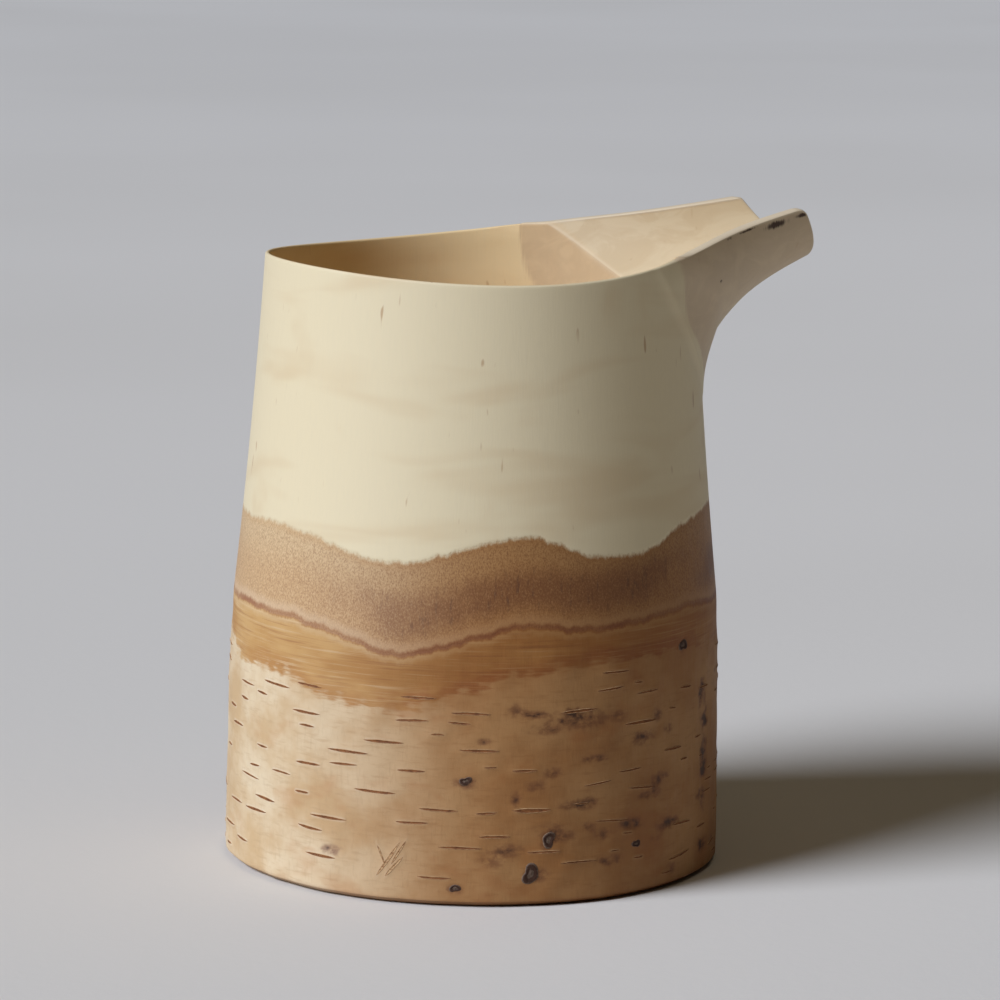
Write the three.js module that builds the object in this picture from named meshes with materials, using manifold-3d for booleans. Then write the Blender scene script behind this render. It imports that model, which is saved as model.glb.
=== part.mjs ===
// A birch-log jug: a hollowed length of trunk whose side branch is worked into an open pouring spout.
// Units are millimetres and +Z is up. The spout points along +X, and Y = 0 is the plane of symmetry.
import * as THREE from "three";
import { mergeVertices } from "three/addons/utils/BufferGeometryUtils.js";
import Module from "manifold-3d";

const wasm = await Module();
wasm.setup();

// ---- Driving dimensions -----------------------------------------------------------------------

// The log
const footRadius = 55; // outside of the bark at the foot
const barkTaper = 0.012; // how much the bark's radius shrinks per mm of height
const carveStart = 50; // height at which the knife starts to cut inwards
const carveBlend = 1.2; // softening between the bark and the carved face
const carveHollow = 0.55; // how far the carved face dips below a straight taper
const footChamfer = 1; // bevel cut round the bottom edge of the bark

// The rim
const rimHeight = 133.9; // height of the rim opposite the spout
const rimInset = 7.9; // how much smaller the rim's radius is than the foot's
const rimWall = 1; // thickness of the wall at the rim
const throatRise = 2; // height of the rim where the lips begin, above the rim opposite
const lipSlope = 0.173; // rise of the lips per mm of reach
const rimDipX = -5; // where the level part of the rim turns into the rise to the lips

// The bark layers: each edge is the height at which that layer shows on the carved face
const woodEdge = 76.8; // wood above, inner bark below
const barkEdge = 58.6; // inner bark above, outer bark below
const edgeWaveBroad = 1.2; // height of the edges' three broad waves
const edgeWaveShort = 2.4; // height of the edges' five shorter waves
const layerGap = 0.2; // space between neighbouring layers
const layerFeather = 0.15; // thickness at which a layer's thinned top edge ends
const barkLift = 0.4; // how far the bark stays above the face that the log stands on

// The bottom board, let into a groove inside the log
const boardUnderside = 8; // height of the board's underside
const boardThickness = 8;
const grooveDepth = 2.2;
const tongueThickness = 3; // of the board's bevelled edge, where it enters the groove
const tongueRun = 7; // how far the bevel reaches in under the board
const grooveGap = 0.3;

// The spout
const spoutReach = 25.9; // from the rim's circle to the tips of the lips
const mouthHalfWidth = 15; // half the distance between the lips' outer edges
const leaveAngle = 62.8; // degrees from the spout's centreline at which its side leaves the round wall
const sidePull = 29.4; // length of the curve handle at the round wall
const lipPull = 29; // length of the curve handle at the mouth
const lipAngle = 15; // degrees between each lip and the centreline at the mouth
const lipThickness = 3.8;
const mouthDepth = 14.7; // from the lips to the underside, along the mouth
const mouthLean = 30.5; // degrees by which the mouth leans forward of the vertical, downwards
const keelDrop = 35.9; // from the rim to where the underside leaves the log
const keelRootPull = 18.6; // length of the curve handle at the log
const keelLipPull = 18.2; // length of the curve handle at the mouth
const keelSlope = 21.4; // degrees by which the underside rises at the mouth
const channelDrop = 14.5; // from the rim to the start of the channel's bottom, inside the log
const channelInset = 6; // how far inside the bore the channel starts
const floorThickness = 3.2; // of the channel's bottom at the mouth

// The branch: the round stub that the spout is cut from
const branchRadius = 36.5;
const branchGap = 0.3; // space along the line where branch wood meets trunk wood

// Facets
const turns = 72; // round the log
const spoutSections = 12; // along the spout
const sectionPoints = 16; // round the spout's underside
const trimAllowance = 6; // how far the blanks stand above the finished rim

// ---- Derived dimensions -----------------------------------------------------------------------

const degrees = Math.PI / 180;
const rimRadius = footRadius - rimInset;
const boreRadius = rimRadius - rimWall;
const carveRadius = footRadius - barkTaper * carveStart;
const throatHeight = rimHeight + throatRise;
const blankTop = rimHeight + trimAllowance;

// ---- Helpers ----------------------------------------------------------------------------------

// A closed geometry as a solid for cutting and joining.
function solid(geometry) {
  const bare = geometry.clone();
  bare.deleteAttribute("normal");
  bare.deleteAttribute("uv");
  const merged = mergeVertices(bare, 1e-4);
  return new wasm.Manifold(
    new wasm.Mesh({
      numProp: 3,
      vertProperties: merged.attributes.position.array,
      triVerts: new Uint32Array(merged.index.array),
    }),
  );
}

// A solid back to a geometry.
function geometryOf(body) {
  const mesh = body.getMesh();
  const geometry = new THREE.BufferGeometry();
  geometry.setAttribute("position", new THREE.BufferAttribute(new Float32Array(mesh.vertProperties), 3));
  geometry.setIndex(new THREE.BufferAttribute(new Uint32Array(mesh.triVerts), 1));
  geometry.computeVertexNormals();
  return geometry;
}

// Indexed triangles from a list of points.
function indexed(points, triangles) {
  const geometry = new THREE.BufferGeometry().setFromPoints(points);
  geometry.setIndex(triangles);
  return geometry;
}

// A ring round the Z axis whose cross-section may change with the angle.
// profileAt(angle) lists radius and height in order, anticlockwise with the radius to the right.
function ring(profileAt) {
  const points = [];
  const triangles = [];
  let count = 0;
  for (let i = 0; i < turns; i++) {
    const angle = (i / turns) * 2 * Math.PI;
    const profile = profileAt(angle);
    count = profile.length;
    for (const p of profile) {
      points.push(new THREE.Vector3(p.x * Math.cos(angle), p.x * Math.sin(angle), p.y));
    }
  }
  for (let i = 0; i < turns; i++) {
    const here = i * count;
    const next = ((i + 1) % turns) * count;
    for (let j = 0; j < count; j++) {
      const k = (j + 1) % count;
      triangles.push(here + j, next + j, next + k);
      triangles.push(here + j, next + k, here + k);
    }
  }
  return indexed(points, triangles);
}

// A solid turned round the Z axis from a profile of radius and height that starts and ends on the axis.
function turned(profile) {
  const points = profile.map(([radius, height]) => new THREE.Vector2(radius, height));
  return new THREE.LatheGeometry(points, turns).rotateX(Math.PI / 2);
}

// A skin over a row of closed outlines that all have the same number of points, with flat ends.
function skinned(outlines) {
  const count = outlines[0].length;
  const last = (outlines.length - 1) * count;
  const triangles = [];
  for (let i = 0; i + 1 < outlines.length; i++) {
    const here = i * count;
    const next = here + count;
    for (let j = 0; j < count; j++) {
      const k = (j + 1) % count;
      triangles.push(here + j, here + k, next + k);
      triangles.push(here + j, next + k, next + j);
    }
  }
  for (let j = 1; j + 1 < count; j++) {
    triangles.push(0, j + 1, j);
    triangles.push(last, last + j, last + j + 1);
  }
  return indexed(outlines.flat(), triangles);
}

// ---- Outside of the log -----------------------------------------------------------------------

// The smaller of two numbers, eased over the given width where they cross.
function easedMinimum(a, b, width) {
  const near = Math.max(width - Math.abs(a - b), 0) / width;
  return Math.min(a, b) - (near * near * width) / 4;
}

// Radius of the outside at a height: natural bark low down, and the carved face above it.
function outsideRadius(height) {
  const along = (height - carveStart) / (rimHeight - carveStart);
  const straight = carveRadius + (rimRadius - carveRadius) * along;
  const dip = 4 * carveHollow * Math.max(along * (1 - along), 0);
  return easedMinimum(footRadius - barkTaper * height, straight - dip, carveBlend);
}

// Both edges rise and fall together round the log, because they follow its bumps.
function edgeWave(angle) {
  return (
    edgeWaveBroad * Math.cos(3 * angle - 155 * degrees) +
    edgeWaveShort * Math.cos(5 * angle - 175 * degrees)
  );
}

// Inside radius of a bark layer whose thinned top edge shows at the given height.
const insideOfLayer = (edge) => outsideRadius(edge) - layerFeather;

// What a layer covers: straight up behind it from the given bottom, then out over its top edge.
function coveredBy(edge, bottom) {
  const radius = insideOfLayer(edge) - layerGap;
  return [new THREE.Vector2(radius, bottom), new THREE.Vector2(radius, edge + layerGap)];
}

// Points up the outside between two heights.
function outsideFrom(bottom, top, steps) {
  const points = [];
  for (let i = 0; i <= steps; i++) {
    const height = bottom + ((top - bottom) * i) / steps;
    points.push(new THREE.Vector2(outsideRadius(height), height));
  }
  return points;
}

// ---- Rim and spout guides ---------------------------------------------------------------------

// Side view of the rim: a shallow dip over the bowl, then straight rising lips.
function rimLine() {
  const dipHeight = throatHeight - lipSlope * (throatX - rimDipX);
  const line = new THREE.Path();
  line.moveTo(-rimRadius, rimHeight);
  line.quadraticCurveTo(rimDipX, dipHeight, throatX, throatHeight);
  return line.getPoints(16);
}

// Height of the straight lips, and of their line carried on both ways.
const lipHeight = (x) => throatHeight + lipSlope * (x - throatX);

const side = new THREE.Vector2(Math.cos(leaveAngle * degrees), Math.sin(leaveAngle * degrees));
const throatX = boreRadius * Math.cos((leaveAngle - 17) * degrees);
const tipX = rimRadius + spoutReach;

// Plan of the spout's side, from the round wall to the tip of the lip.
const planCurve = new THREE.CubicBezierCurve(
  side.clone().multiplyScalar(rimRadius),
  new THREE.Vector2(rimRadius * side.x + sidePull * side.y, rimRadius * side.y - sidePull * side.x),
  new THREE.Vector2(
    tipX - lipPull * Math.cos(lipAngle * degrees),
    mouthHalfWidth + lipPull * Math.sin(lipAngle * degrees),
  ),
  new THREE.Vector2(tipX, mouthHalfWidth),
);

// The mouth's centreline, from the lips down to the underside.
const mouthDown = new THREE.Vector2(Math.sin(mouthLean * degrees), -Math.cos(mouthLean * degrees));
const mouthTop = new THREE.Vector2(tipX, lipHeight(tipX));
const mouthBottom = mouthTop.clone().addScaledVector(mouthDown, mouthDepth);

// Side view of the spout's underside, from the log to the mouth.
const keelRootZ = rimHeight - keelDrop;
const keelRootX = outsideRadius(keelRootZ) - 1;
const keelCurve = new THREE.CubicBezierCurve(
  new THREE.Vector2(keelRootX, keelRootZ),
  new THREE.Vector2(keelRootX, keelRootZ + keelRootPull),
  new THREE.Vector2(
    mouthBottom.x - keelLipPull * Math.cos(keelSlope * degrees),
    mouthBottom.y - keelLipPull * Math.sin(keelSlope * degrees),
  ),
  mouthBottom,
);

// Side view of the channel's bottom.
const channelLine = new THREE.LineCurve(
  new THREE.Vector2(boreRadius - channelInset, rimHeight - channelDrop),
  mouthBottom.clone().addScaledVector(mouthDown, -floorThickness),
);

// One outline across the spout at a place t along it: down one side, under, and up the other.
// across(u) and down(u) shape it, with u from -1 at one lip through 0 at the bottom to 1 at the other.
function spoutOutline(t, bottom, inset, across, down) {
  const plan = planCurve.getPoint(t);
  const top = new THREE.Vector2(plan.x, lipHeight(plan.x));
  const drop = bottom.getPoint(t).sub(top);
  const rise = drop.clone().setLength(trimAllowance);
  const half = plan.y - inset;
  const outline = [];
  for (let i = 0; i <= sectionPoints; i++) {
    const u = (2 * i) / sectionPoints - 1;
    const y = half * across(u);
    const d = down(u);
    outline.push(new THREE.Vector3(top.x + drop.x * d, y, top.y + drop.y * d));
  }
  outline.push(new THREE.Vector3(top.x - rise.x, half, top.y - rise.y));
  outline.push(new THREE.Vector3(top.x - rise.x, -half, top.y - rise.y));
  return outline;
}

// ---- Wood: trunk wall and branch spout --------------------------------------------------------

// The trunk's wood, thick-walled and left tall, ready for the bore and the rim to be cut.
const trunkBlank = ring((angle) => {
  const edge = woodEdge + edgeWave(angle);
  return [
    new THREE.Vector2(boreRadius / 2, 0),
    ...coveredBy(edge, 0),
    ...outsideFrom(edge + layerGap, blankTop + trimAllowance, 6),
    new THREE.Vector2(boreRadius / 2, blankTop + trimAllowance),
  ];
});

// The spout outside: each outline is half an ellipse.
const spoutBlank = [];
for (let i = 0; i <= spoutSections; i++) {
  const quarter = (u) => (u * Math.PI) / 2;
  const across = (u) => Math.sin(quarter(u));
  const down = (u) => Math.cos(quarter(u));
  spoutBlank.push(spoutOutline(i / spoutSections, keelCurve, 0, across, down));
}

// The channel inside the spout: each outline is a parabola. The last one is carried out past the mouth.
const channelCut = [];
for (let i = 0; i <= spoutSections; i++) {
  const across = (u) => u;
  const down = (u) => 1 - u * u;
  channelCut.push(spoutOutline(i / spoutSections, channelLine, lipThickness, across, down));
}
const past = new THREE.Vector3(trimAllowance, 0, trimAllowance * lipSlope);
channelCut.push(channelCut[spoutSections].map((p) => p.clone().add(past)));

// The bore, with the groove for the bottom board.
const tongueTop = boardUnderside + boardThickness;
const grooveTop = tongueTop + grooveGap;
const grooveBottom = tongueTop - tongueThickness - grooveGap;
const boreCut = turned([
  [0, -trimAllowance],
  [boreRadius, -trimAllowance],
  [boreRadius, grooveBottom - grooveDepth / 2],
  [boreRadius + grooveDepth, grooveBottom],
  [boreRadius + grooveDepth, grooveTop],
  [boreRadius, grooveTop],
  [boreRadius, blankTop + 2 * trimAllowance],
  [0, blankTop + 2 * trimAllowance],
]);

// Everything below the rim and the lips, seen from the side and carried right across.
const below = new THREE.Shape();
const farX = 2 * tipX;
const rimPoints = rimLine();
below.moveTo(-farX, -trimAllowance);
below.lineTo(farX, -trimAllowance);
below.lineTo(farX, lipHeight(farX));
rimPoints.reverse().forEach((p) => below.lineTo(p.x, p.y));
below.lineTo(-farX, rimHeight);
const belowRim = new THREE.ExtrudeGeometry(below, { depth: 4 * footRadius, bevelEnabled: false });
belowRim.rotateX(Math.PI / 2).translate(0, 2 * footRadius, 0);

// The branch as a round bar along X that stays open upwards.
function branchBar(radius) {
  const outline = new THREE.Shape();
  outline.moveTo(-radius, 2 * rimHeight);
  outline.absarc(0, rimHeight, radius, Math.PI, 2 * Math.PI, false);
  outline.lineTo(radius, 2 * rimHeight);
  const bar = new THREE.ExtrudeGeometry(outline, { depth: farX, bevelEnabled: false, curveSegments: 24 });
  return bar.rotateX(Math.PI / 2).rotateZ(Math.PI / 2);
}

const wood = solid(trunkBlank)
  .add(solid(skinned(spoutBlank)))
  .subtract(solid(boreCut))
  .subtract(solid(skinned(channelCut)))
  .intersect(solid(belowRim));
const trunkWall = wood.subtract(solid(branchBar(branchRadius + branchGap)));
const branchSpout = wood.intersect(solid(branchBar(branchRadius)));

// ---- Bark layers ------------------------------------------------------------------------------

// The inner bark: behind the outer bark low down, and showing above it.
const innerBark = ring((angle) => {
  const top = woodEdge + edgeWave(angle);
  const cover = barkEdge + edgeWave(angle);
  return [
    new THREE.Vector2(insideOfLayer(top), barkLift),
    ...coveredBy(cover, barkLift),
    ...outsideFrom(cover + layerGap, top, 5),
    new THREE.Vector2(insideOfLayer(top), top),
  ];
});

// The outer bark: the log's own skin, bevelled at the foot and carved away towards its top edge.
const outerBark = ring((angle) => {
  const top = barkEdge + edgeWave(angle);
  return [
    new THREE.Vector2(insideOfLayer(top), barkLift),
    new THREE.Vector2(footRadius - footChamfer, barkLift),
    ...outsideFrom(barkLift + footChamfer, top, 9),
    new THREE.Vector2(insideOfLayer(top), top),
  ];
});

// ---- Bottom board -----------------------------------------------------------------------------

const boardRadius = boreRadius - grooveGap;
const tongueRadius = boreRadius + grooveDepth - grooveGap;
const board = turned([
  [0, boardUnderside],
  [boardRadius - tongueRun, boardUnderside],
  [boardRadius, tongueTop - tongueThickness - grooveDepth / 4],
  [tongueRadius, tongueTop - tongueThickness],
  [tongueRadius, tongueTop],
  [0, tongueTop],
]);

// ---- The jug ----------------------------------------------------------------------------------

function piece(name, geometry, color, roughness) {
  const material = new THREE.MeshStandardMaterial({ color, roughness, metalness: 0 });
  const mesh = new THREE.Mesh(geometry, material);
  mesh.name = name;
  return mesh;
}

const jug = new THREE.Group();
jug.name = "birch_log_jug";
jug.add(
  piece("trunk_wall", geometryOf(trunkWall), 0xe6d3b0, 0.6),
  piece("branch_spout", geometryOf(branchSpout), 0xdcc4a4, 0.6),
  piece("inner_bark", innerBark, 0x9c6a43, 0.75),
  piece("outer_bark", outerBark, 0xc9a67a, 0.8),
  piece("base_board", board, 0xdbc59c, 0.65),
);

// The origin is under the middle of the whole length, so the log's own axis sits behind it.
jug.position.x = (footRadius - mouthBottom.x) / 2;

export default jug;
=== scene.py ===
"""A birch-log jug: a hollowed length of trunk whose side branch is worked into an open pouring spout.

Shapes are worked out in millimetres in the log's frame (the log's axis is x = y = 0, +Z is up and the
spout points along +X), and moved to the CAD's frame, in metres, when each piece is made.
"""
import math

import bpy
import numpy as np
from mathutils import Matrix, Vector


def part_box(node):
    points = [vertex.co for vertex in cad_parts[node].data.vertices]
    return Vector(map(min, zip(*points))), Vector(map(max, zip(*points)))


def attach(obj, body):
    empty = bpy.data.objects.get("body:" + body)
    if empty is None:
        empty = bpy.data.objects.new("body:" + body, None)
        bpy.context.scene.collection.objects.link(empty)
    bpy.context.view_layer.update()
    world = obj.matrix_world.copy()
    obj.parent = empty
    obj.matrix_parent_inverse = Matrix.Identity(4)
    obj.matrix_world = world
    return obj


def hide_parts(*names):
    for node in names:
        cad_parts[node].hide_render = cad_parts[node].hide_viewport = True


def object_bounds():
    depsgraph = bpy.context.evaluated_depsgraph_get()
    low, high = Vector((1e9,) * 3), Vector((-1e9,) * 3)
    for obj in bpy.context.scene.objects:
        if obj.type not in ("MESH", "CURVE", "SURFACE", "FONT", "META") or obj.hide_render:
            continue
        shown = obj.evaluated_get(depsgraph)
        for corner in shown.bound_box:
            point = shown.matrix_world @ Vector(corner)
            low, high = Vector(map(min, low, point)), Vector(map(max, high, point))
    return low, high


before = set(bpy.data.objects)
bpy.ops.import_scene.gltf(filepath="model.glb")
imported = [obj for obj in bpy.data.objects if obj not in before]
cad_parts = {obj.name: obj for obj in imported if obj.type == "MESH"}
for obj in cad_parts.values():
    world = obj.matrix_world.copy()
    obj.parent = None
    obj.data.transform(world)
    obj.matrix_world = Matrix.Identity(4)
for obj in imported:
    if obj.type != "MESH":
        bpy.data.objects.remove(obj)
cad_low, cad_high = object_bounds()

MM = 0.001
bark_low, bark_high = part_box("outer_bark")
AXIS_X = (bark_low.x + bark_high.x) / 2  # the log's axis in the CAD's frame, in metres

# ---- Dimensions, in millimetres and degrees ---------------------------------------------------

FOOT_RADIUS = 55.0
BARK_TAPER = 0.012
CARVE_START = 50.0
CARVE_BLEND = 1.2
CARVE_HOLLOW = 0.55
RIM_HEIGHT = 133.9
RIM_RADIUS = 47.1
BORE_RADIUS = 46.1
THROAT_HEIGHT = 135.9
THROAT_X = 32.14
LIP_SLOPE = 0.173
RIM_DIP = (-5.0, 129.5)
RIM_ROUND = 0.5
LAYER_DEPTH = 0.35  # how deep a layer's edge is cut in behind the face
LAYER_RUN = 1.1  # height over which that cut slants in
BARK_LIFT = 0.4
BRANCH_RADIUS = 36.5

# Spout guides: side in plan (x, half-width), underside and channel bottom in side view (x, height).
PLAN = ((21.53, 41.89), (47.68, 28.45), (44.99, 22.51), (73.0, 15.0))
KEEL = ((48.9, 98.0), (48.9, 116.6), (63.51, 123.69), (80.46, 130.33))
CHANNEL = ((40.1, 119.4), (78.84, 133.09))
MOUTH_LEAN = 30.5
LIP_THICKNESS = 3.1
CREASE_LEAST = 1.0  # softening where the spout grows out of the log, at the lips and the keel
CREASE_MOST = 9.0  # the same, on the flanks between them
CREASE_KEEL = 4.0  # and what is added under the spout
ROOT_INSET = 1.7  # how far the spout's own form starts inside the log
SHOULDER_TRIM = 0.075  # how much the flanks are drawn in where the spout leaves the log

# Board and groove
BOARD_TOP = 16.0
BOARD_UNDERSIDE = 8.0
GROOVE_DEPTH = 2.2
GROOVE_BOTTOM = 12.7
GROOVE_TOP = 16.3
TONGUE_BOTTOM = 13.0
TONGUE_RUN = 7.0
GROOVE_GAP = 0.3

# Heights at which each layer shows, every 15 degrees round the log from -180 degrees.
WOOD_EDGE = (77.7, 77.7, 75.0, 73.2, 76.5, 79.4, 75.4, 74.0, 78.0, 80.2, 81.0, 79.5,
             77.0, 75.0, 75.5, 78.0, 79.5, 77.5, 75.0, 74.0, 76.0, 78.5, 78.0, 77.5)
DARK_EDGE = (59.2, 59.0, 57.2, 54.0, 57.0, 60.6, 59.2, 60.0, 61.0, 60.4, 59.8, 59.0,
             57.5, 56.0, 56.5, 58.5, 60.0, 59.0, 57.0, 56.0, 57.5, 59.0, 59.5, 59.4)
ORANGE_EDGE = (46.0, 46.7, 42.6, 41.8, 46.0, 50.6, 51.4, 52.2, 52.3, 51.4, 50.5, 49.0,
               47.0, 45.0, 46.5, 49.0, 50.5, 49.0, 46.5, 45.0, 46.0, 48.5, 50.5, 49.0)

# Mesh density
SEAM_COLUMNS = 200
BACK_COLUMNS = 560
BARK_COLUMNS = 760
CAP_ROWS = 8

rng = np.random.default_rng(7)


# ---- Small helpers ----------------------------------------------------------------------------

def smoothstep(value, low, high):
    x = np.clip((value - low) / (high - low), 0, 1)
    return x * x * (3 - 2 * x)


def eased_minimum(a, b, width):
    near = np.maximum(width - np.abs(a - b), 0) / width
    return np.minimum(a, b) - near * near * width / 4


def eased_maximum(a, b, width):
    return -eased_minimum(-a, -b, width)


def polar(radius, angle, height):
    """Points at a radius and an angle round the log."""
    x = radius * np.cos(angle)
    y = radius * np.sin(angle)
    return np.stack([x, y, np.broadcast_to(height, x.shape)], -1)


def bezier(points, t):
    a, b, c, d = (np.array(p, float) for p in points)
    t = np.asarray(t, float)[..., None]
    s = 1 - t
    return s**3 * a + 3 * s * s * t * b + 3 * s * t * t * c + t**3 * d


def periodic(heights, angle):
    """A smooth closed curve through evenly spaced heights; the first is at -180 degrees."""
    h = np.array(heights)
    n = len(h)
    x = (np.degrees(angle) + 180) / (360 / n)
    i = np.floor(x).astype(int)
    f = x - i
    p0, p1, p2, p3 = (h[(i + k) % n] for k in (-1, 0, 1, 2))
    return p1 + 0.5 * f * (p2 - p0 + f * (2 * p0 - 5 * p1 + 4 * p2 - p3 + f * (3 * (p1 - p2) + p3 - p0)))


def ripple(angle, height, waves, seed):
    """Smooth seeded unevenness round the log: waves lists (number of terms, turns, per mm, size)."""
    draw = np.random.default_rng(seed)
    total = np.zeros(np.broadcast(angle, height).shape)
    for count, most_turns, most_rise, size in waves:
        for _ in range(count):
            turns = draw.integers(1, most_turns + 1)
            rise = draw.uniform(-most_rise, most_rise)
            total += size * np.sin(turns * angle + rise * height + draw.uniform(0, 2 * math.pi))
    return total


def edge_wobble(angle, seed):
    return ripple(angle, 0.0, ((5, 40, 0.0, 0.10), (8, 110, 0.0, 0.07)), seed)


def wood_edge(angle):
    return periodic(WOOD_EDGE, angle) + edge_wobble(angle, 3)


def dark_edge(angle):
    return periodic(DARK_EDGE, angle) + edge_wobble(angle, 4)


def orange_edge(angle):
    return periodic(ORANGE_EDGE, angle) + 2 * edge_wobble(angle, 5)


# ---- Surfaces ---------------------------------------------------------------------------------

def log_radius(height):
    """The log's outside: natural bark low down and the carved face above it."""
    carve = FOOT_RADIUS - BARK_TAPER * CARVE_START
    along = (height - CARVE_START) / (RIM_HEIGHT - CARVE_START)
    straight = carve + (RIM_RADIUS - carve) * along
    dip = 4 * CARVE_HOLLOW * np.maximum(along * (1 - along), 0)
    return eased_minimum(FOOT_RADIUS - BARK_TAPER * height, straight - dip, CARVE_BLEND)


def lip_height(x):
    return THROAT_HEIGHT + LIP_SLOPE * (x - THROAT_X)


# The rim in side view, from the back to the throat: one quadratic curve.
RIM_STEPS = 200
rim_f = np.linspace(0, 1, RIM_STEPS)
rim_x = (1 - rim_f) ** 2 * -RIM_RADIUS + 2 * rim_f * (1 - rim_f) * RIM_DIP[0] + rim_f**2 * THROAT_X
rim_z = (1 - rim_f) ** 2 * RIM_HEIGHT + 2 * rim_f * (1 - rim_f) * RIM_DIP[1] + rim_f**2 * THROAT_HEIGHT


def rim_height(x):
    return np.where(x < THROAT_X, np.interp(x, rim_x, rim_z), lip_height(x))


PLAN_START_SLOPE = 3 * (PLAN[1][0] - PLAN[0][0])
PLAN_END_SLOPE = 3 * (PLAN[3][0] - PLAN[2][0])


def section(t):
    """Across the spout at t: the lips' x and z, half-width, and the drop to the underside and channel."""
    inside = np.clip(t, 0, 1)
    plan = bezier(PLAN, inside)
    keel = bezier(KEEL, inside)
    start = np.array(CHANNEL[0])
    end = np.array(CHANNEL[1])
    floor = start + (end - start) * inside[..., None]
    top = np.stack([plan[..., 0], lip_height(plan[..., 0])], -1)
    x = plan[..., 0] + np.minimum(t, 0) * PLAN_START_SLOPE
    return x, lip_height(x), plan[..., 1], keel - top, floor - top


LOG_PASSES = 7  # enough for the distance to settle


def log_distance(x, z, ex, ey, ez, guess):
    """Distance from a point on the centre plane, along a direction, to the log's outside."""
    r = guess
    for _ in range(LOG_PASSES):
        radius = log_radius(z + r * ez)
        a = ex * ex + ey * ey
        b = x * ex
        c = x * x - radius * radius
        r = (-b + np.sqrt(np.maximum(b * b - a * c, 0))) / a
    return r


def outside_distance(t, turn):
    """Direction and distance from the lips' line to the outside, at an angle across the spout."""
    x, z, half, drop, _ = section(t)
    length = np.hypot(drop[..., 0], drop[..., 1])
    side = half * np.sin(turn)
    deep = length * np.cos(turn)
    spout = np.hypot(side, deep)
    trim = SHOULDER_TRIM * np.sin(2 * turn) ** 2 * (1 - smoothstep(t, 0.0, 0.55))
    ex = drop[..., 0] / length * deep / spout
    ey = side / spout
    ez = drop[..., 1] / length * deep / spout
    log = log_distance(x, z, ex, ey, ez, spout)
    below = smoothstep(np.cos(turn), 0.0, 0.4)
    inset = ROOT_INSET * (1 - smoothstep(t, 0.0, 0.28)) * below
    flank = CREASE_MOST * np.sin(2 * turn) ** 2 * (1 - 0.9 * (1 - smoothstep(t, -0.15, 0.24)) * below)
    width = CREASE_LEAST + CREASE_KEEL * np.cos(turn) ** 2 + flank
    return x, z, ex, ey, ez, eased_maximum(spout * (1 - trim) - inset, log, width)


def outside_point(t, turn):
    x, z, ex, ey, ez, r = outside_distance(t, turn)
    return np.stack([x + r * ex, r * ey, z + r * ez], -1)


SECTION_PASSES = 8
SMALL_STEP = 1e-4


def spout_coordinates(p):
    """The section and angle that a point lies on, and its distance from the lips' line."""
    x, y, z = p[..., 0], p[..., 1], p[..., 2]
    t = np.clip((x - 0.6 * (lip_height(x) - z) - PLAN[0][0]) / 80, -1.2, 0.9)

    def miss(t):
        x0, z0, _, drop, _ = section(t)
        return (x - x0) * drop[..., 1] - (z - z0) * drop[..., 0]

    for _ in range(SECTION_PASSES):
        here = miss(t)
        slope = (miss(t + SMALL_STEP) - here) / SMALL_STEP
        t = np.clip(t - here / slope, -1.5, 1)
    x0, z0, half, drop, _ = section(t)
    length = np.hypot(drop[..., 0], drop[..., 1])
    along = ((x - x0) * drop[..., 0] + (z - z0) * drop[..., 1]) / length
    return t, np.arctan2(y / half, along / length), np.hypot(np.hypot(x - x0, z - z0), y)


ROOT_HALF_ANGLE = math.radians(78)  # how far round the log the spout's root can reach
ROOT_LOWEST = 82  # and how far down
ROOT_PASSES = 16


def skin_radius(angle, height):
    """Radius of the finished outside round the log, the spout's soft root included."""
    angle, height = np.broadcast_arrays(angle, height)
    radius = log_radius(height)
    wrapped = (angle + math.pi) % (2 * math.pi) - math.pi
    near = (np.abs(wrapped) < ROOT_HALF_ANGLE) & (height > ROOT_LOWEST)
    if near.any():
        a, h, r = angle[near], height[near], radius[near]
        for _ in range(ROOT_PASSES):
            t, turn, distance = spout_coordinates(polar(r, a, h))
            r = r - 0.5 * (distance - outside_distance(t, turn)[-1])
        radius = radius.copy()
        radius[near] = np.maximum(r, radius[near])
    return radius


def on_skin(angle, height):
    return polar(skin_radius(angle, height), angle, height)


# ---- Pieces -----------------------------------------------------------------------------------

def band(rows, closed=False):
    """Four-sided faces between the rows of a grid of vertex numbers."""
    grid = np.asarray(rows)
    if closed:
        grid = np.concatenate([grid, grid[:, :1]], 1)
    a, b = grid[:-1, :-1], grid[:-1, 1:]
    c, d = grid[1:, 1:], grid[1:, :-1]
    return np.stack([a, b, c, d], -1).reshape(-1, 4).tolist()


def tube(rows):
    """Faces of a grid that closes both ways."""
    grid = np.asarray(rows)
    return band(np.concatenate([grid, grid[:1]]), closed=True)


def plugged(rows):
    """Faces of a grid that closes along its rows, with its first and last row filled in."""
    grid = np.asarray(rows)
    return band(grid, closed=True) + [grid[0, ::-1].tolist(), grid[-1].tolist()]


def numbered(grid, first=0):
    """Vertex numbers for a grid of points."""
    return first + np.arange(grid[..., 0].size).reshape(grid.shape[:-1])


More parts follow.
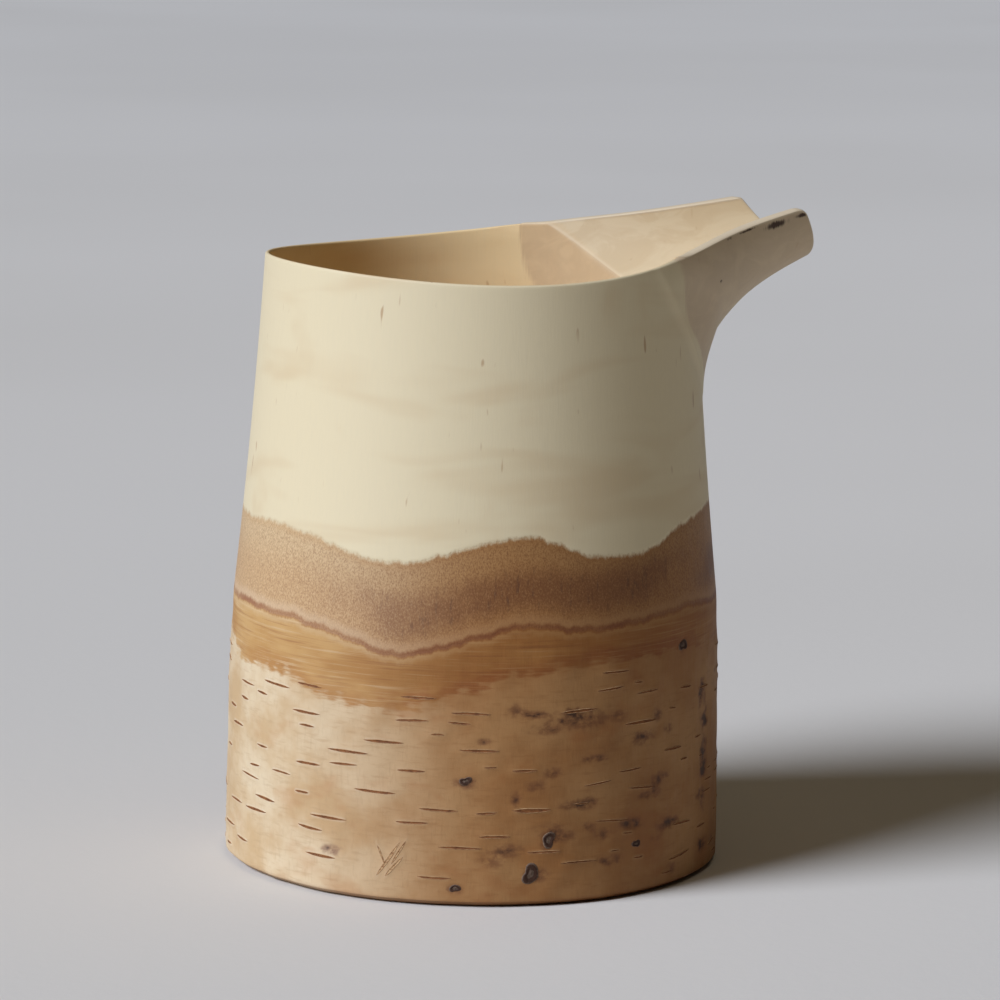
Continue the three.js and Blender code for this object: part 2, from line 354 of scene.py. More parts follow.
def make_piece(name, points, faces, material, marks, node=None, sharp=32):
    """A mesh in the CAD's frame, with one float per vertex for each mark."""
    placed = np.asarray(points, float) * MM + np.array([AXIS_X, 0, 0])
    placed = np.clip(placed, np.array(cad_low), np.array(cad_high))  # against rounding
    mesh = bpy.data.meshes.new(name)
    mesh.from_pydata(placed.tolist(), [], faces)
    for mark, values in marks.items():
        layer = mesh.attributes.new(mark, "FLOAT", "POINT")
        layer.data.foreach_set("value", np.asarray(values, np.float32).ravel())
    mesh.polygons.foreach_set("use_smooth", np.ones(len(mesh.polygons), bool))
    mesh.set_sharp_from_angle(angle=math.radians(sharp))
    mesh.validate()
    mesh.update()
    piece = bpy.data.objects.new(name, mesh)
    bpy.context.scene.collection.objects.link(piece)
    mesh.materials.append(material)
    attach(piece, "root")
    if node:
        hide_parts(node)


# How brown the bark layers are, every 30 degrees from -180 degrees: partly their own tone and partly painted
# shade, palest towards the key light and deepest on the side turned away from it.
BARK_TONE_AND_PAINTED_SHADE = (0.05, 0.28, 0.92, 1.0, 1.0, 1.0, 0.85, 0.6, 0.45, 0.6, 0.5, 0.2)
BRANCH_TONE_RADIUS = 38.2  # of the branch's own wood where it reaches the outside
BRANCH_TONE_TAPER = 2.4  # how much less it is at the bottom of the spout


def inside_wall(points):
    return smoothstep(np.hypot(points[:, 0], points[:, 1]), BORE_RADIUS + 1.0, BORE_RADIUS + 0.1)


def branch_depth(points):
    """How far inside the branch's own wood each point is."""
    x, y, z = points[:, 0], points[:, 1], points[:, 2]
    outer = BRANCH_TONE_RADIUS - BRANCH_TONE_TAPER * smoothstep(z, 124, 112)
    radius = outer + (BRANCH_RADIUS - outer) * inside_wall(points)
    return np.where(x > 0, radius - np.hypot(y, np.minimum(z - RIM_HEIGHT, 0)), -20.0)


def layer_marks(points, shown):
    """Height above each layer's edge; points where the bark can't show count as far above."""
    angle = np.arctan2(points[:, 1], points[:, 0])
    height = points[:, 2]
    far = np.where(shown, 0.0, 60.0)
    return {
        "above_wood": height - wood_edge(angle) + far,
        "above_dark": height - dark_edge(angle) + far,
        "above_orange": height - orange_edge(angle) + far,
        # partly painted shade: the bark darkens round the side turned away from the key light
        "deep": periodic(BARK_TONE_AND_PAINTED_SHADE, angle),
        "branch": branch_depth(points),
        "inside": inside_wall(points),
    }


def cap_shape(outer, inner, up, rise, squareness):
    """Rows of points that round over the top of a wall, from its outer edge to its inner edge."""
    rows = []
    for i in range(1, CAP_ROWS):
        a = math.pi * i / CAP_ROWS
        power = 2 / np.asarray(squareness)[..., None]
        across = np.sign(math.cos(a)) * np.abs(math.cos(a)) ** power
        lift = math.sin(a) ** power
        middle = (outer + inner) / 2
        rows.append(middle + (outer - inner) / 2 * across + up * lift * np.asarray(rise)[..., None])
    return rows


# The spout, seam row first: columns run across it from the near lip (y < 0) to the far lip.
across = np.linspace(-1, 1, SEAM_COLUMNS + 1)
ROOT_ROWS = 26  # from the seam to the crease between bore and channel
REACH_ROWS = 80  # from there to the mouth
LIP_ROUND_TIP = 0.8
MOUTH_ROUND = 0.7


def spout_turn(t, depth_kind, lowered):
    """The angle across the spout of every column, its outermost columns lowered from the lips' line."""
    _, _, _, drop, floor = section(t)
    chosen = drop if depth_kind == "outside" else floor
    length = np.hypot(chosen[..., 0], chosen[..., 1])
    return across * np.arccos(lowered / length)


def channel_point(t, turn):
    x, z, half, _, floor = section(t)
    side = (half - LIP_THICKNESS) * math.sqrt(2) * np.sin(turn / 2)
    return np.stack([x + floor[..., 0] * np.cos(turn), side, z + floor[..., 1] * np.cos(turn)], -1)


HALVINGS = 40


def solve(miss, low, high):
    """Where a falling quantity reaches zero, for every column."""
    low = np.full(across.shape, low)
    high = np.full(across.shape, high)
    for _ in range(HALVINGS):
        middle = (low + high) / 2
        above = miss(middle) > 0
        low, high = np.where(above, middle, low), np.where(above, high, middle)
    return (low + high) / 2


def outside_of_bar(p):
    return np.hypot(p[..., 1], np.minimum(p[..., 2] - RIM_HEIGHT, 0)) - BRANCH_RADIUS


def inside_bore(p):
    return BORE_RADIUS - np.hypot(p[..., 0], p[..., 1])


seam_t = solve(lambda t: outside_of_bar(outside_point(t, spout_turn(t, "outside", RIM_ROUND))), -0.7, 0.9)
crease_t = solve(lambda t: inside_bore(channel_point(t, spout_turn(t, "floor", RIM_ROUND))), 0.0, 0.8)

# The mouth's edge: pulled back near the lips into a rounded corner, the far one sharper.
NEAR_CORNER = 1.7
FAR_CORNER = 0.5
FAR_TRIM = 0.8  # how much shorter the far lip is
corner = np.where(across < 0, NEAR_CORNER, FAR_CORNER)
end_turn = spout_turn(np.ones_like(across), "outside", LIP_ROUND_TIP)
mouth_depth = np.hypot(*section(np.array(1.0))[3])
below_lip = mouth_depth * np.cos(end_turn) - LIP_ROUND_TIP
bow = np.clip(1 - below_lip / corner, 0, 1)
pull = corner * (1 - np.sqrt(1 - bow**2)) + FAR_TRIM * smoothstep(across, -0.2, 0.9)
end_t = 1 - (MOUTH_ROUND + pull) / PLAN_END_SLOPE


def spread(rows, gather):
    """Row fractions from 0 to 1, closer together at both ends when gather is positive."""
    f = np.linspace(0, 1, rows + 1)
    return (1 - gather) * f + gather * smoothstep(f, 0, 1)


joint_t = np.maximum(crease_t, seam_t + 0.05)
root_f = spread(ROOT_ROWS, 0.0)
reach_f = spread(REACH_ROWS, 0.4)[1:]
row_t = np.concatenate([
    seam_t + (joint_t - seam_t) * root_f[:, None],
    joint_t + (end_t - joint_t) * reach_f[:, None],
])
inner_t = crease_t + (end_t - crease_t) * reach_f[:, None]
progress = np.concatenate([root_f * 0.25, 0.25 + reach_f * 0.75])
lowered = RIM_ROUND + (LIP_ROUND_TIP - RIM_ROUND) * smoothstep(progress, 0.2, 0.8)[:, None]
outer_grid = outside_point(row_t, spout_turn(row_t, "outside", lowered))

seam_outer = outer_grid[0]
seam_inner = seam_outer.copy()
seam_inner[:, 0] = np.sqrt(BORE_RADIUS**2 - seam_outer[:, 1] ** 2)

# Inside: first the bore's own wall from the seam to the crease, then the channel to the mouth.
crease = channel_point(crease_t, spout_turn(crease_t, "floor", RIM_ROUND))
crease_angle = np.arctan2(crease[:, 1], crease[:, 0])
seam_angle = np.arctan2(seam_inner[:, 1], seam_inner[:, 0])
patch_angle = seam_angle + (crease_angle - seam_angle) * root_f[:, None]
patch_height = seam_inner[:, 2] + (crease[:, 2] - seam_inner[:, 2]) * root_f[:, None]
patch = polar(BORE_RADIUS, patch_angle, patch_height)
channel_grid = channel_point(inner_t, spout_turn(inner_t, "floor", lowered[ROOT_ROWS + 1:]))
inner_grid = np.concatenate([patch, channel_grid])


def unit(v):
    return v / np.linalg.norm(v, axis=-1, keepdims=True)


lean = math.radians(MOUTH_LEAN)
UP = np.array([0.0, 0.0, 1.0])
LIP_UP = np.array([-math.sin(lean), 0.0, math.cos(lean)])
FORWARD = np.array([math.cos(lean), 0.0, math.sin(lean)])
rise_way = unit(UP + (LIP_UP - UP) * smoothstep(progress, 0.15, 0.6)[:, None])
squareness = 2 + 1.2 * smoothstep(progress, 0.1, 0.5)
lip_rise = lowered[:, 0]

near_lip = cap_shape(outer_grid[:, 0], inner_grid[:, 0], rise_way, lip_rise, squareness)
far_lip = cap_shape(outer_grid[:, -1], inner_grid[:, -1], rise_way, lip_rise, squareness)
mouth_way = FORWARD * np.sqrt(1 - bow**2)[:, None] + LIP_UP * bow[:, None]
mouth_rise = MOUTH_ROUND + (LIP_ROUND_TIP - MOUTH_ROUND) * bow
mouth_cap = cap_shape(outer_grid[-1], inner_grid[-1], mouth_way, mouth_rise, np.full(across.shape, 3.0))

point_blocks = []


def add_points(array):
    """Adds a grid of points to the spout, and gives the grid of their vertex numbers."""
    array = np.asarray(array)
    first = sum(len(block) for block in point_blocks)
    point_blocks.append(array.reshape(-1, 3))
    return numbered(array, first)


outer_n = add_points(outer_grid)
inner_n = add_points(inner_grid)
near_n = add_points(near_lip)
far_n = add_points(far_lip)
mouth_n = add_points(np.array(mouth_cap)[:, 1:-1])
mouth_n = np.concatenate([near_n[:, -1:], mouth_n, far_n[:, -1:]], 1)
near_n = np.concatenate([outer_n[None, :, 0], near_n, inner_n[None, :, 0]])
far_n = np.concatenate([outer_n[None, :, -1], far_n, inner_n[None, :, -1]])
mouth_n = np.concatenate([outer_n[None, -1], mouth_n, inner_n[None, -1]])
spout_points = np.concatenate(point_blocks)
spout_faces = (
    band(outer_n) + band(inner_n[::-1]) + band(near_n) + band(far_n[::-1]) + band(mouth_n)
    + band(np.stack([inner_n[0], outer_n[0]]))
    + [near_n[:, 0].tolist(), far_n[::-1, 0].tolist()]
)

# Scraps of bark left on the near lip: x, depth below the lip, half-length, half-height.
REMNANTS = (
    (64.0, 1.7, 3.6, 0.85), (72.6, 1.5, 2.6, 0.5), (54.5, 0.75, 3.4, 0.24), (48.0, 0.8, 1.6, 0.2),
    (44.5, 9.0, 0.45, 0.4),
)


def lip_remnants():
    """How strongly the scraps of bark show, for each of the spout's points."""
    marks = np.zeros(outer_grid.shape[:2])
    x, z = outer_grid[..., 0], outer_grid[..., 2]
    depth = lip_height(x) - z
    for at, down, length, tall in REMNANTS:
        blot = np.exp(-(((x - at) / length) ** 2 + ((depth - down) / tall) ** 2))
        marks = np.maximum(marks, blot * (outer_grid[..., 1] < 0))
    values = np.zeros(len(spout_points))
    values[outer_n.ravel()] = marks.ravel()
    return values


def channel_marks():
    """Which of the spout's points are in the channel, and which on its crease with the bore or its lips,
    where a highlight is painted.
    """
    row = np.arange(len(inner_grid))[:, None] - ROOT_ROWS + np.zeros(inner_grid.shape[:2])
    channel = np.zeros(len(spout_points))
    crease = np.zeros(len(spout_points))
    channel[inner_n.ravel()] = smoothstep(row, -1, 4).ravel()
    crease[inner_n.ravel()] = np.exp(-((row - 1) / 1.6) ** 2).ravel()
    for cap in (near_n, far_n, mouth_n):
        crease[cap[1:-1].ravel()] = 1
    return channel, crease


# The trunk, one closed grid. Its columns follow the seam in front and the rim behind.
seam_top_angle = np.arctan2(seam_outer[:, 1], seam_outer[:, 0])
front_end = seam_top_angle[-1]
back_angle = np.linspace(front_end, 2 * math.pi - front_end, BACK_COLUMNS + 2)[1:-1]
rim_outer_x = RIM_RADIUS * np.cos(back_angle)
back_height = rim_height(rim_outer_x) - RIM_ROUND
top_angle = np.concatenate([seam_top_angle, back_angle])
top_height = np.concatenate([seam_outer[:, 2], back_height])
foot_angle = np.concatenate([np.linspace(-front_end, front_end, SEAM_COLUMNS + 1), back_angle])
inner_shift = seam_angle[-1] - front_end
blend_end = front_end + math.radians(18)
ease = 1 - smoothstep(back_angle, front_end, blend_end)
ease -= 1 - smoothstep(2 * math.pi - back_angle, front_end, blend_end)
inner_top_angle = np.concatenate([seam_angle, back_angle + inner_shift * ease])
inner_top_height = np.concatenate([seam_inner[:, 2], back_height])

# Its rows run up the outside, over the rim, down the bore, round the groove and across the foot.
WOOD_ROWS = 64
BORE_ROWS = 26
FOOT_CHAMFER = 0.6
foot_wood = wood_edge(foot_angle)
hidden_radius = skin_radius(foot_angle, foot_wood) - LAYER_DEPTH
rows = [polar(hidden_radius, foot_angle, 0.0), polar(hidden_radius, foot_angle, foot_wood - LAYER_RUN)]
shown = [False, True]
fraction = spread(WOOD_ROWS, 0.0)[:, None]
wood_angle = foot_angle + (top_angle - foot_angle) * fraction
wood_height = foot_wood + (top_height - foot_wood) * fraction
wood_rows = on_skin(wood_angle, wood_height)
wood_rows[-1, : SEAM_COLUMNS + 1] = seam_outer
rows += list(wood_rows)
shown += [True] * len(wood_rows)
inner_top = polar(BORE_RADIUS, inner_top_angle, inner_top_height)
cap = cap_shape(wood_rows[-1], inner_top, UP, np.full(top_angle.shape, RIM_ROUND), 2.0)
for i, row in enumerate(cap):
    part = (i + 1) / CAP_ROWS
    row[1:SEAM_COLUMNS] = (seam_outer + (seam_inner - seam_outer) * part)[1:SEAM_COLUMNS]
    rows.append(row)
    shown.append(False)
fraction = spread(BORE_ROWS, 0.3)[:, None]
bore_angle = inner_top_angle + (foot_angle - inner_top_angle) * fraction
bore_height = inner_top_height + (GROOVE_TOP - inner_top_height) * fraction
for a, h in zip(bore_angle, bore_height):
    rows.append(polar(BORE_RADIUS, a, h))
    shown.append(False)
for radius, height in (
    (BORE_RADIUS + GROOVE_DEPTH, GROOVE_TOP), (BORE_RADIUS + GROOVE_DEPTH, GROOVE_BOTTOM),
    (BORE_RADIUS, GROOVE_BOTTOM - GROOVE_DEPTH / 2), (BORE_RADIUS, 5.0), (BORE_RADIUS, FOOT_CHAMFER),
    (BORE_RADIUS + FOOT_CHAMFER, 0.0),
):
    rows.append(polar(radius, foot_angle, height))
    shown.append(False)
trunk_grid = np.array(rows)
trunk_points = trunk_grid.reshape(-1, 3)
trunk_faces = tube(numbered(trunk_grid))
trunk_shown = np.repeat(shown, trunk_grid.shape[1])

# Bark layers: closed rings. Their rows run out along the foot, up the outside and back over the top.
INNER_ROWS = 44
CLEARANCE = 0.02  # between faces that would otherwise lie in the same place
bark_angle = np.arange(BARK_COLUMNS) / BARK_COLUMNS * 2 * math.pi - math.pi
top_of_inner = wood_edge(bark_angle)
top_of_outer = dark_edge(bark_angle)
inside_inner = skin_radius(bark_angle, top_of_inner) - LAYER_DEPTH + CLEARANCE
inside_outer = log_radius(top_of_outer) - LAYER_DEPTH


def ring_row(radius, height):
    return polar(radius, bark_angle, height)


rows = [ring_row(inside_inner, BARK_LIFT), ring_row(inside_outer, BARK_LIFT),
        ring_row(inside_outer, top_of_outer - LAYER_RUN)]
for f in np.linspace(0, 1, INNER_ROWS):
    height = top_of_outer + (top_of_inner - top_of_outer) * f
    rows.append(ring_row(log_radius(height), height))
rows.append(ring_row(inside_inner, top_of_inner - LAYER_RUN))
inner_bark_points = np.array(rows).reshape(-1, 3)
inner_bark_faces = tube(numbered(np.array(rows)))


def away(angle, centre):
    """Distance round the log from a point at the given angle, in millimetres."""
    return ((angle - centre + math.pi) % (2 * math.pi) - math.pi) * FOOT_RADIUS


# Slits in the bark: angle in degrees and height of the middle, half-length, half-height.
LARGE_SLITS = (
    (-137, 35, 4.6, 0.29), (-129, 45, 4.0, 0.28), (-103, 21, 4.3, 0.46), (-117, 42, 4.3, 0.27),
    (-115, 34, 4.4, 0.30), (-124, 21, 4.2, 0.28), (-146, 32, 5.2, 0.27), (-92, 42, 4.4, 0.32),
    (-119, 13, 4.8, 0.27), (-139, 24, 4.9, 0.28), (-157, 28, 3.6, 0.27), (-75, 38, 4.6, 0.34),
    (-158, 39, 4.2, 0.26), (-157, 45, 3.6, 0.27), (-151, 17, 5.0, 0.26), (-130, 18, 3.6, 0.27),
)
# A few scratches near the foot: the same, and how much each one slants.
SCRATCHES = (
    (-135.4, 9.6, 2.6, 0.55, 1.45), (-134.0, 8.2, 2.0, 0.45, 1.10), (-137.0, 10.4, 1.0, 0.40, -2.1),
    (-132.9, 11.4, 1.6, 0.40, 1.6),
)
SLIT_COUNT = 190
MOST_TRIES = 6000
SLIT_LENGTHS = (1.3, 2.2, 3.2, 4.2)
SLIT_SHARES = (0.16, 0.28, 0.33, 0.23)
SLIT_GAP = 1.5  # between the ends of two slits at about the same height
SLIT_RISE = 2.1  # and the height from which they count as apart
slits = []
for angle, height, length, thick in LARGE_SLITS:
    slits.append((math.radians(angle), height, length, thick, rng.normal(0, 0.03)))
for angle, height, length, thick, tilt in SCRATCHES:
    slits.append((math.radians(angle), height, length, thick, tilt))
tries = 0
while len(slits) < SLIT_COUNT and tries < MOST_TRIES:
    tries += 1
    angle = rng.uniform(-math.pi, math.pi)
    height = rng.uniform(2.2, 52)
    length = rng.choice(SLIT_LENGTHS, p=SLIT_SHARES) * rng.uniform(0.85, 1.15)
    if height > orange_edge(angle) - 0.5 and rng.uniform() > 0.12:
        continue
    if not any(abs(away(angle, a)) < length + other + SLIT_GAP and abs(height - h) < SLIT_RISE
               for a, h, other, _, _ in slits):
        thick = rng.uniform(0.18, 0.30) * min(0.66 + length / 8, 1)
        slits.append((angle, height, length, thick, rng.normal(0, 0.05)))

# Dark stains: angle in degrees, height, half-length and half-height of the blot, strength.
stain_list = [
    (-118, 27, 2.6, 1.2, 1.0), (-99, 14, 1.4, 1.8, 1.1), (-102, 7, 2.8, 1.5, 1.1), (-90, 40, 5.0, 2.4, 0.8),
    (-98, 29, 2.2, 1.2, 0.8), (-102, 26, 3.2, 1.6, 0.6), (-150, 10, 2.8, 1.1, 1.0), (-120, 4, 2.2, 1.2, 0.8),
    (-59, 53, 1.8, 1.8, 1.1), (-114, 36, 1.4, 0.8, 0.9), (-89, 22, 2.4, 1.2, 0.7), (-112, 10, 3.4, 1.6, 0.5),
]
# More of them, by chance: how many, then the range of each of those five.
STAIN_RANGES = (
    (46, (-110, 140), (3, 44), (1.0, 4.0), (0.6, 1.8), (0.35, 1.0)),
    (18, (-108, -62), (4, 42), (1.6, 4.2), (0.8, 1.8), (0.5, 1.0)),
)
STRIP_ANGLE = -48  # of an upright strip of stains
STRIP_COUNT = 14
for count, *spans in STAIN_RANGES:
    for _ in range(count):
        stain_list.append([rng.uniform(*span) for span in spans])
for _ in range(STRIP_COUNT):
    stain_list.append((rng.normal(STRIP_ANGLE, 1.6), rng.uniform(4, 44), rng.uniform(1.0, 1.9),
                       rng.uniform(1.2, 3.0), rng.uniform(0.5, 0.95)))

RELIEF_FADE = 9.0  # height over which the bark's unevenness fades towards its top edge
RELIEF_SINK = 0.42  # how far it is set in, so that the bark stays inside the log's outline
DENT = 0.12  # how deep a stain is sunk
MOST_DENTS = 1.2  # how much overlapping stains can add up to, as dents and as colour
MOST_STAIN = 1.4


def bark_relief(angle, height):
    """Unevenness of the bark and how strongly slit lips and stains show, for every point."""
    waves = ((6, 6, 0.05, 0.055), (10, 26, 0.25, 0.03), (10, 70, 0.9, 0.012))
    relief = ripple(angle, height, waves, 11) - RELIEF_SINK
    lips = np.zeros(relief.shape)
    for a, h, length, thick, tilt in slits:
        p = away(angle, a)
        q = height - h - tilt * p
        along = np.exp(-np.maximum(np.abs(p) - 0.8 * length, 0) ** 2 / 0.8)
        relief += 0.11 * along * np.exp(-(q / (thick + 0.75)) ** 2)
        lips = np.maximum(lips, along * np.exp(-(q / (thick + 0.42)) ** 2))
    stains = np.zeros(relief.shape)
    dents = np.zeros(relief.shape)
    for a, h, wide, tall, strength in stain_list:
        p = away(angle, math.radians(a))
        q = height - h
        blot = np.exp(-((p / wide) ** 2 + (q / tall) ** 2))
        stains += strength * blot
        dents += strength * np.exp(-((p / (0.7 * wide)) ** 2 + (q / (0.7 * tall)) ** 2))
    relief -= DENT * np.minimum(dents, MOST_DENTS)
    return relief, lips, np.minimum(stains, MOST_STAIN)


# The outer bark's rows: the foot with its worn edge, the outside, and the top edge.
OUTER_ROWS = 112
FOOT_EDGE = ((1.25, 0.0), (0.95, 0.12))  # how far in and how far up the worn edge's points are
FOOT_EDGE_TOP = 0.9
rows = [ring_row(inside_outer, BARK_LIFT)]
rows += [ring_row(FOOT_RADIUS - inward, BARK_LIFT + rise) for inward, rise in FOOT_EDGE]
start = BARK_LIFT + FOOT_EDGE_TOP
for f in np.linspace(0, 1, OUTER_ROWS):
    height = start + (top_of_outer - start) * f
    rows.append(ring_row(log_radius(height), height))
rows.append(ring_row(inside_outer + CLEARANCE / 2, top_of_outer - LAYER_RUN))
outer_bark_grid = np.array(rows)
bark_points = outer_bark_grid.reshape(-1, 3)
relief, lips, stains = bark_relief(np.arctan2(bark_points[:, 1], bark_points[:, 0]), bark_points[:, 2])
faces_out = np.zeros(outer_bark_grid.shape[:2])
faces_out[1:-1] = 1
faces_out = faces_out.ravel()
below_top = (top_of_outer - outer_bark_grid[..., 2]).ravel()
shift = relief * smoothstep(below_top, 0.0, RELIEF_FADE) * faces_out
flat_radius = np.hypot(bark_points[:, 0], bark_points[:, 1])
bark_points[:, :2] *= ((flat_radius + shift) / flat_radius)[:, None]
bark_faces = tube(numbered(outer_bark_grid))

# Slits: thin closed spindles with two raised lips and a sunk dark middle.
# Their section: height as a share of the half-height, and lift above the bark.
SLIT_STATIONS = 22
SLIT_SECTION = (
    (-1.0, -0.25), (-0.92, 0.06), (-0.78, 0.10), (-0.55, 0.03), (0.0, 0.0), (0.55, 0.03), (0.78, 0.10),
    (0.92, 0.06), (1.0, -0.25), (0.0, -0.35),
)
SCRATCH_OPENING = 0.28  # how dark a scratch is beside a slit
slit_points, slit_faces, slit_open = [], [], []
for a, h, length, thick, tilt in slits:
    base = len(slit_points)
    along = np.sin(np.linspace(-0.5, 0.5, SLIT_STATIONS) * math.pi)
    bend = rng.normal(0, 0.06)
    opening = 1.0 if abs(tilt) < 0.5 else SCRATCH_OPENING
    ragged = 1 + 0.10 * np.sin(np.linspace(0, rng.uniform(8, 20), SLIT_STATIONS) + rng.uniform(0, 6))
    for s, rag in zip(along, ragged):
        width = thick * 1.2 * (max(1 - abs(s) ** 3, 0) * rag + 0.04)
        for q, lift in SLIT_SECTION:
            p = length * s
            height = h + tilt * p + bend * s * s + q * width
            angle = a + p / FOOT_RADIUS
            slit_points.append((angle, height, lift * (1 - 0.6 * s**4)))
            slit_open.append(opening if abs(q) < 0.7 else 0.0)
    numbers = base + np.arange(SLIT_STATIONS * len(SLIT_SECTION)).reshape(SLIT_STATIONS, -1)
    slit_faces += plugged(numbers[::-1])
slit_points = np.array(slit_points)

# Knots: small irregular craters, each a raised ring round a low middle: angle, height, radius.
KNOT_COUNT = 14
KNOT_SPACING = 11
KNOT_TURNS = 28
# Their section: share of the radius, lift above the bark, and how dark it is.
KNOT_SECTION = (
    (1.30, -0.30, 0.0), (1.15, 0.03, 0.15), (0.97, 0.13, 0.8), (0.78, 0.15, 1.0), (0.58, 0.05, 1.0),
    (0.40, 0.04, 0.55), (0.18, 0.10, 0.35), (0.03, 0.11, 0.35),
)
knots = [(-99, 14.5, 1.4), (-103, 7.2, 1.8), (-118, 27.4, 1.0), (-59, 52.6, 1.3), (-76, 11.5, 0.9),
         (-120, 4.2, 0.9)]
while len(knots) < KNOT_COUNT:
    angle, height, size = rng.uniform(-20, 150), rng.uniform(5, 46), rng.uniform(0.8, 1.9)
    gaps = [math.hypot(math.radians(angle - a) * FOOT_RADIUS, height - h) for a, h, _ in knots]
    if min(gaps) > KNOT_SPACING:
        knots.append((angle, height, size))
knot_points, knot_faces, knot_marks = [], [], []
turn = np.arange(KNOT_TURNS) / KNOT_TURNS * 2 * math.pi
for a, h, size in knots:
    base = len(knot_points)
    outline = 1 + 0.26 * np.sin(2 * turn + rng.uniform(0, 6)) + 0.12 * np.sin(3 * turn + rng.uniform(0, 6))
    for reach, lift, ring in KNOT_SECTION:
        for c, wave in zip(turn, outline):
            p = size * reach * wave * math.cos(c)
            q = size * reach * wave * math.sin(c) * 0.9
            bumpy = lift * (1 + 0.35 * math.sin(3 * c + a)) if lift > 0 else lift
            knot_points.append((math.radians(a) + p / FOOT_RADIUS, h + q, bumpy))
            knot_marks.append(ring)
    numbers = base + np.arange(len(KNOT_SECTION) * KNOT_TURNS).reshape(-1, KNOT_TURNS)
    knot_faces += plugged(numbers)
knot_points = np.array(knot_points)


def on_bark(places):
    """Points given as angle, height and lift above the bark, in the log's frame."""
    angle, height, lift = places.T
    fade = smoothstep(dark_edge(angle) - height, 0.0, RELIEF_FADE)
    radius = log_radius(height) + bark_relief(angle, height)[0] * fade + lift
    return polar(radius, angle, height)


slit_xyz = on_bark(slit_points)
knot_xyz = on_bark(knot_points)

# The bottom board: flat on top, bevelled to a tongue underneath, with softened edges.
tongue_radius = BORE_RADIUS + GROOVE_DEPTH - GROOVE_GAP
board_radius = BORE_RADIUS - GROOVE_GAP
bevel_z = TONGUE_BOTTOM - GROOVE_DEPTH / 4
bevel_start = BOARD_UNDERSIDE + 0.15
board_profile = [(0.5, BOARD_UNDERSIDE)]
board_profile += [(r, BOARD_UNDERSIDE) for r in np.linspace(4, board_radius - TONGUE_RUN - 0.6, 10)]
board_profile += [(board_radius - TONGUE_RUN, bevel_start)]
for f in (0.33, 0.66, 1.0):
    board_profile.append((board_radius - TONGUE_RUN * (1 - f), bevel_start + (bevel_z - bevel_start) * f))
board_profile += [(tongue_radius - 0.3, TONGUE_BOTTOM), (tongue_radius, TONGUE_BOTTOM + 0.3),
                  (tongue_radius, BOARD_TOP - 0.4), (tongue_radius - 0.4, BOARD_TOP)]
board_profile += [(r, BOARD_TOP) for r in np.linspace(board_radius - 0.5, 0.5, 14)]
BOARD_COLUMNS = 180
board_angle = np.arange(BOARD_COLUMNS) / BOARD_COLUMNS * 2 * math.pi
board_grid = np.array([polar(r, board_angle, z) for r, z in board_profile])
tool_marks = 0.05 * np.sin(board_grid[..., 1] * 1.1 + 0.6 * np.sin(board_grid[..., 0] * 0.12))
inside_face = np.hypot(board_grid[..., 0], board_grid[..., 1]) < board_radius - TONGUE_RUN
board_grid[..., 2] += np.where(inside_face, tool_marks - 0.05, 0)
board_points = board_grid.reshape(-1, 3)
board_faces = plugged(numbered(board_grid))


# ---- Materials --------------------------------------------------------------------------------

